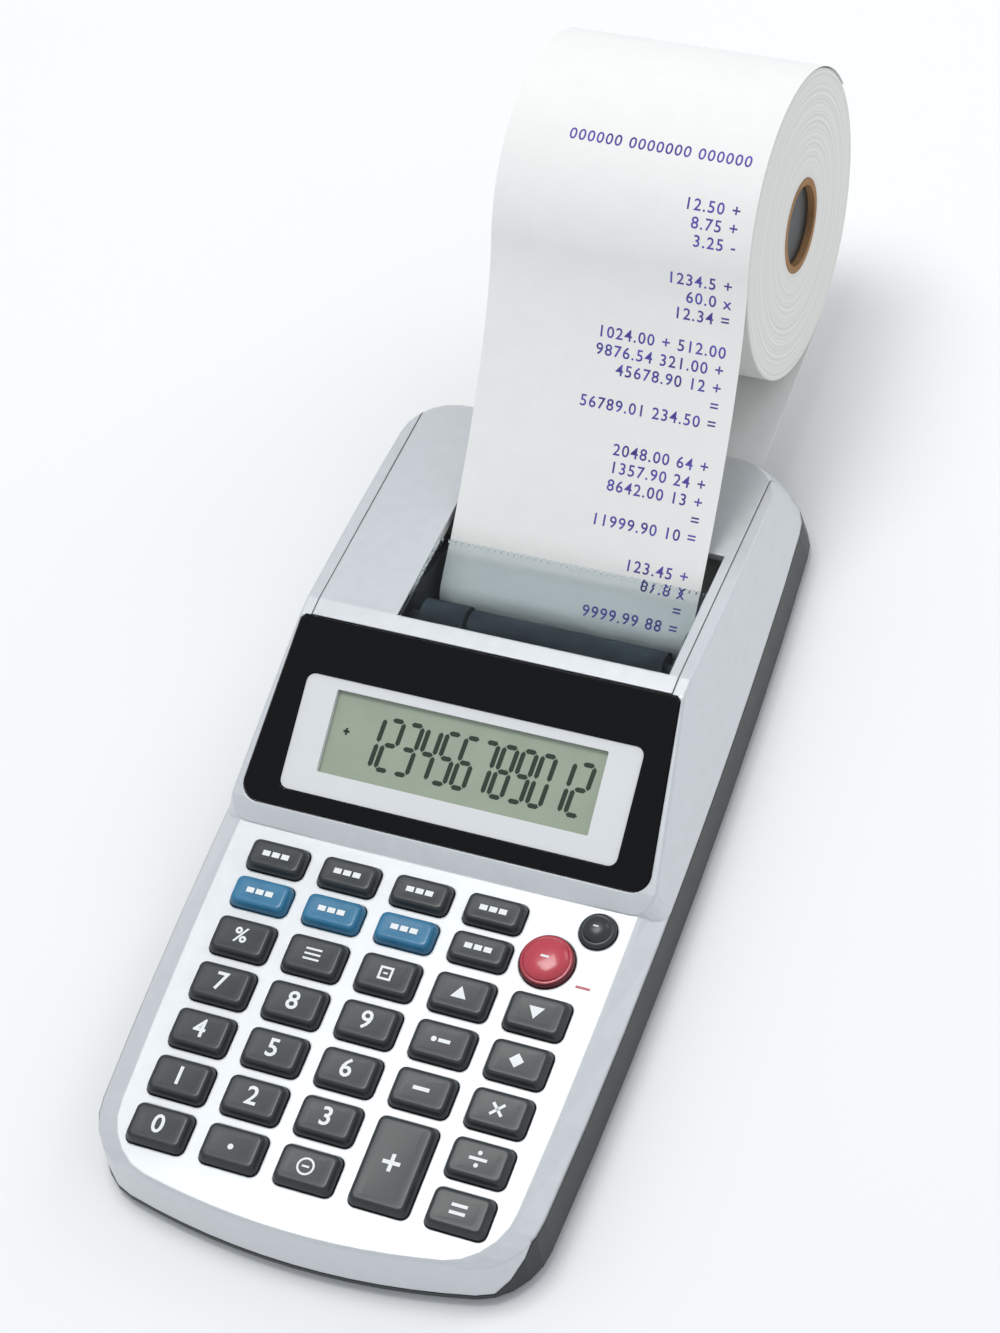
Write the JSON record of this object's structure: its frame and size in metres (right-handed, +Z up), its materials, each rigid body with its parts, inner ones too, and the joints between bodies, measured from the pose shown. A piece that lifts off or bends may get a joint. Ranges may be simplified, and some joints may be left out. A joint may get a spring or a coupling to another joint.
{
  "type": "printing desk calculator",
  "caption": "Small battery printing calculator: sloping display, key deck, type-wheel printer under a lift-off cover, and a paper roll on a rear arm.",
  "frame": {"origin": "under the centre of the whole part, paper roll included, on the surface the rubber feet stand on", "axes": "+X to the user's right, +Y to the rear towards the paper roll, +Z up"},
  "size_m": [0.1016, 0.2691, 0.0888],
  "materials": {
    "case_black": "fine matt",
    "case_silver": "satin silver paint on plastic",
    "panel_black": "gloss",
    "window_white": "satin",
    "lcd_green": "satin",
    "silicone": "matt",
    "board_green": "satin",
    "clear_plastic": "clear, gloss",
    "frame_black": "matt",
    "type_wheels": "satin",
    "ink_felt": "matt, inked",
    "roller_rubber": "matt",
    "steel": "satin",
    "brass": "satin",
    "gear_white": "satin",
    "cell_wrap": "gloss wrap",
    "nickel": "bright",
    "foot_rubber": "matt",
    "core_board": "matt",
    "paper": "matt",
    "key_black": "satin",
    "key_blue": "satin",
    "key_red": "satin"
  },
  "bodies": {
    "case": {"lower_case": "case_black", "upper_case": "case_silver", "display_bezel": "panel_black", "display_window": "window_white", "lcd_cell": "lcd_green", "key_mat": "silicone", "circuit_board": "board_green", "printer_frame": "frame_black", "motor": "steel", "batteries": "cell_wrap", "battery_contacts": "nickel", "power_jack": "frame_black", "rubber_feet": "foot_rubber", "case_screws": "steel", "roll_arm": "case_black", "paper_web": "paper"},
    "cover": {"printer_cover": "case_silver", "tear_window": "clear_plastic"},
    "door": {"battery_door": "case_black"},
    "feed": {"feed_roller": "roller_rubber"},
    "drum": {"print_drum": "type_wheels"},
    "ink": {"ink_roller": "ink_felt"},
    "idler": {"drive_gear": "gear_white"},
    "pinion": {"motor_pinion": "brass"},
    "roll": {"roll_core": "core_board", "paper_roll": "paper"},
    "button_r1_c1": {"key_r1_c1": "key_black"},
    "button_r1_c2": {"key_r1_c2": "key_black"},
    "button_r1_c3": {"key_r1_c3": "key_black"},
    "button_r1_c4": {"key_r1_c4": "key_black"},
    "button_blue_1": {"key_blue_1": "key_blue"},
    "button_blue_2": {"key_blue_2": "key_blue"},
    "button_blue_3": {"key_blue_3": "key_blue"},
    "button_r2_c4": {"key_r2_c4": "key_black"},
    "button_r3_c1": {"key_r3_c1": "key_black"},
    "button_r3_c2": {"key_r3_c2": "key_black"},
    "button_r3_c3": {"key_r3_c3": "key_black"},
    "button_r3_c4": {"key_r3_c4": "key_black"},
    "button_r3_c5": {"key_r3_c5": "key_black"},
    "button_7": {"key_7": "key_black"},
    "button_8": {"key_8": "key_black"},
    "button_9": {"key_9": "key_black"},
    "button_r4_c4": {"key_r4_c4": "key_black"},
    "button_total": {"key_total": "key_black"},
    "button_4": {"key_4": "key_black"},
    "button_5": {"key_5": "key_black"},
    "button_6": {"key_6": "key_black"},
    "button_minus": {"key_minus": "key_black"},
    "button_times": {"key_times": "key_black"},
    "button_1": {"key_1": "key_black"},
    "button_2": {"key_2": "key_black"},
    "button_3": {"key_3": "key_black"},
    "button_divide": {"key_divide": "key_black"},
    "button_0": {"key_0": "key_black"},
    "button_point": {"key_point": "key_black"},
    "button_sign": {"key_sign": "key_black"},
    "button_plus": {"key_plus": "key_black"},
    "button_equals": {"key_equals": "key_black"},
    "button_clear": {"key_clear": "key_red"},
    "button_power": {"key_power": "key_black"}
  },
  "joints": [
    {"name": "feed_spin", "type": "hinge", "parent": "case", "child": "feed", "pos_m": [0, 0.01725, 0.0178], "axis": [1, 0, 0], "continuous": true},
    {"name": "drum_spin", "type": "hinge", "parent": "case", "child": "drum", "pos_m": [0, 0.00628, 0.01703], "axis": [1, 0, 0], "continuous": true},
    {"name": "idler_spin", "type": "hinge", "parent": "case", "child": "idler", "pos_m": [0, 0.02892, 0.01332], "axis": [1, 0, 0], "continuous": true},
    {"name": "pinion_spin", "type": "hinge", "parent": "case", "child": "pinion", "pos_m": [0, 0.03872, 0.00956], "axis": [1, 0, 0], "continuous": true},
    {"name": "ink_spin", "type": "hinge", "parent": "case", "child": "ink", "pos_m": [0, 0.00335, 0.0262], "axis": [1, 0, 0], "continuous": true},
    {"name": "roll_spin", "type": "hinge", "parent": "case", "child": "roll", "pos_m": [0, 0.10095, 0.0547], "axis": [1, 0, 0], "continuous": true},
    {"name": "cover_slide", "type": "slide", "parent": "case", "child": "cover", "axis": [0, 0.766, 0.6428], "range_m": [0, 0.012]},
    {"name": "door_hinge", "type": "hinge", "parent": "case", "child": "door", "pos_m": [0, -0.0169, 0.0019], "axis": [1, 0, 0], "range_deg": [0, 75]},
    {"name": "key_r1_c1_press", "type": "slide", "parent": "case", "child": "button_r1_c1", "axis": [0, -0.0175, 0.9998], "range_m": [-0.0012, 0], "stiffness_N_per_m": 500, "springref_m": 0.0002},
    {"name": "key_r1_c2_press", "type": "slide", "parent": "case", "child": "button_r1_c2", "axis": [0, -0.0175, 0.9998], "range_m": [-0.0012, 0], "stiffness_N_per_m": 500, "springref_m": 0.0002},
    {"name": "key_r1_c3_press", "type": "slide", "parent": "case", "child": "button_r1_c3", "axis": [0, -0.0175, 0.9998], "range_m": [-0.0012, 0], "stiffness_N_per_m": 500, "springref_m": 0.0002},
    {"name": "key_r1_c4_press", "type": "slide", "parent": "case", "child": "button_r1_c4", "axis": [0, -0.0175, 0.9998], "range_m": [-0.0012, 0], "stiffness_N_per_m": 500, "springref_m": 0.0002},
    {"name": "key_blue_1_press", "type": "slide", "parent": "case", "child": "button_blue_1", "axis": [0, -0.0175, 0.9998], "range_m": [-0.0012, 0], "stiffness_N_per_m": 500, "springref_m": 0.0002},
    {"name": "key_blue_2_press", "type": "slide", "parent": "case", "child": "button_blue_2", "axis": [0, -0.0175, 0.9998], "range_m": [-0.0012, 0], "stiffness_N_per_m": 500, "springref_m": 0.0002},
    {"name": "key_blue_3_press", "type": "slide", "parent": "case", "child": "button_blue_3", "axis": [0, -0.0175, 0.9998], "range_m": [-0.0012, 0], "stiffness_N_per_m": 500, "springref_m": 0.0002},
    {"name": "key_r2_c4_press", "type": "slide", "parent": "case", "child": "button_r2_c4", "axis": [0, -0.0175, 0.9998], "range_m": [-0.0012, 0], "stiffness_N_per_m": 500, "springref_m": 0.0002},
    {"name": "key_r3_c1_press", "type": "slide", "parent": "case", "child": "button_r3_c1", "axis": [0, -0.0175, 0.9998], "range_m": [-0.0012, 0], "stiffness_N_per_m": 500, "springref_m": 0.0002},
    {"name": "key_r3_c2_press", "type": "slide", "parent": "case", "child": "button_r3_c2", "axis": [0, -0.0175, 0.9998], "range_m": [-0.0012, 0], "stiffness_N_per_m": 500, "springref_m": 0.0002},
    {"name": "key_r3_c3_press", "type": "slide", "parent": "case", "child": "button_r3_c3", "axis": [0, -0.0175, 0.9998], "range_m": [-0.0012, 0], "stiffness_N_per_m": 500, "springref_m": 0.0002},
    {"name": "key_r3_c4_press", "type": "slide", "parent": "case", "child": "button_r3_c4", "axis": [0, -0.0175, 0.9998], "range_m": [-0.0012, 0], "stiffness_N_per_m": 500, "springref_m": 0.0002},
    {"name": "key_r3_c5_press", "type": "slide", "parent": "case", "child": "button_r3_c5", "axis": [0, -0.0175, 0.9998], "range_m": [-0.0012, 0], "stiffness_N_per_m": 500, "springref_m": 0.0002},
    {"name": "key_7_press", "type": "slide", "parent": "case", "child": "button_7", "axis": [0, -0.0175, 0.9998], "range_m": [-0.0012, 0], "stiffness_N_per_m": 500, "springref_m": 0.0002},
    {"name": "key_8_press", "type": "slide", "parent": "case", "child": "button_8", "axis": [0, -0.0175, 0.9998], "range_m": [-0.0012, 0], "stiffness_N_per_m": 500, "springref_m": 0.0002},
    {"name": "key_9_press", "type": "slide", "parent": "case", "child": "button_9", "axis": [0, -0.0175, 0.9998], "range_m": [-0.0012, 0], "stiffness_N_per_m": 500, "springref_m": 0.0002},
    {"name": "key_r4_c4_press", "type": "slide", "parent": "case", "child": "button_r4_c4", "axis": [0, -0.0175, 0.9998], "range_m": [-0.0012, 0], "stiffness_N_per_m": 500, "springref_m": 0.0002},
    {"name": "key_total_press", "type": "slide", "parent": "case", "child": "button_total", "axis": [0, -0.0175, 0.9998], "range_m": [-0.0012, 0], "stiffness_N_per_m": 500, "springref_m": 0.0002},
    {"name": "key_4_press", "type": "slide", "parent": "case", "child": "button_4", "axis": [0, -0.0175, 0.9998], "range_m": [-0.0012, 0], "stiffness_N_per_m": 500, "springref_m": 0.0002},
    {"name": "key_5_press", "type": "slide", "parent": "case", "child": "button_5", "axis": [0, -0.0175, 0.9998], "range_m": [-0.0012, 0], "stiffness_N_per_m": 500, "springref_m": 0.0002},
    {"name": "key_6_press", "type": "slide", "parent": "case", "child": "button_6", "axis": [0, -0.0175, 0.9998], "range_m": [-0.0012, 0], "stiffness_N_per_m": 500, "springref_m": 0.0002},
    {"name": "key_minus_press", "type": "slide", "parent": "case", "child": "button_minus", "axis": [0, -0.0175, 0.9998], "range_m": [-0.0012, 0], "stiffness_N_per_m": 500, "springref_m": 0.0002},
    {"name": "key_times_press", "type": "slide", "parent": "case", "child": "button_times", "axis": [0, -0.0175, 0.9998], "range_m": [-0.0012, 0], "stiffness_N_per_m": 500, "springref_m": 0.0002},
    {"name": "key_1_press", "type": "slide", "parent": "case", "child": "button_1", "axis": [0, -0.0175, 0.9998], "range_m": [-0.0012, 0], "stiffness_N_per_m": 500, "springref_m": 0.0002},
    {"name": "key_2_press", "type": "slide", "parent": "case", "child": "button_2", "axis": [0, -0.0175, 0.9998], "range_m": [-0.0012, 0], "stiffness_N_per_m": 500, "springref_m": 0.0002},
    {"name": "key_3_press", "type": "slide", "parent": "case", "child": "button_3", "axis": [0, -0.0175, 0.9998], "range_m": [-0.0012, 0], "stiffness_N_per_m": 500, "springref_m": 0.0002},
    {"name": "key_divide_press", "type": "slide", "parent": "case", "child": "button_divide", "axis": [0, -0.0175, 0.9998], "range_m": [-0.0012, 0], "stiffness_N_per_m": 500, "springref_m": 0.0002},
    {"name": "key_0_press", "type": "slide", "parent": "case", "child": "button_0", "axis": [0, -0.0175, 0.9998], "range_m": [-0.0012, 0], "stiffness_N_per_m": 500, "springref_m": 0.0002},
    {"name": "key_point_press", "type": "slide", "parent": "case", "child": "button_point", "axis": [0, -0.0175, 0.9998], "range_m": [-0.0012, 0], "stiffness_N_per_m": 500, "springref_m": 0.0002},
    {"name": "key_sign_press", "type": "slide", "parent": "case", "child": "button_sign", "axis": [0, -0.0175, 0.9998], "range_m": [-0.0012, 0], "stiffness_N_per_m": 500, "springref_m": 0.0002},
    {"name": "key_plus_press", "type": "slide", "parent": "case", "child": "button_plus", "axis": [0, -0.0175, 0.9998], "range_m": [-0.0012, 0], "stiffness_N_per_m": 500, "springref_m": 0.0002},
    {"name": "key_equals_press", "type": "slide", "parent": "case", "child": "button_equals", "axis": [0, -0.0175, 0.9998], "range_m": [-0.0012, 0], "stiffness_N_per_m": 500, "springref_m": 0.0002},
    {"name": "key_clear_press", "type": "slide", "parent": "case", "child": "button_clear", "axis": [0, -0.0175, 0.9998], "range_m": [-0.0012, 0], "stiffness_N_per_m": 500, "springref_m": 0.0002},
    {"name": "key_power_press", "type": "slide", "parent": "case", "child": "button_power", "axis": [0, -0.0175, 0.9998], "range_m": [-0.0012, 0], "stiffness_N_per_m": 500, "springref_m": 0.0002}
  ],
  "couplings": [
    {"joint": "idler_spin", "follows": "feed_spin", "ratio": -0.66667},
    {"joint": "pinion_spin", "follows": "feed_spin", "ratio": 1.6667},
    {"joint": "drum_spin", "follows": "feed_spin", "ratio": -0.83333},
    {"joint": "ink_spin", "follows": "feed_spin", "ratio": 0.9127}
  ]
}
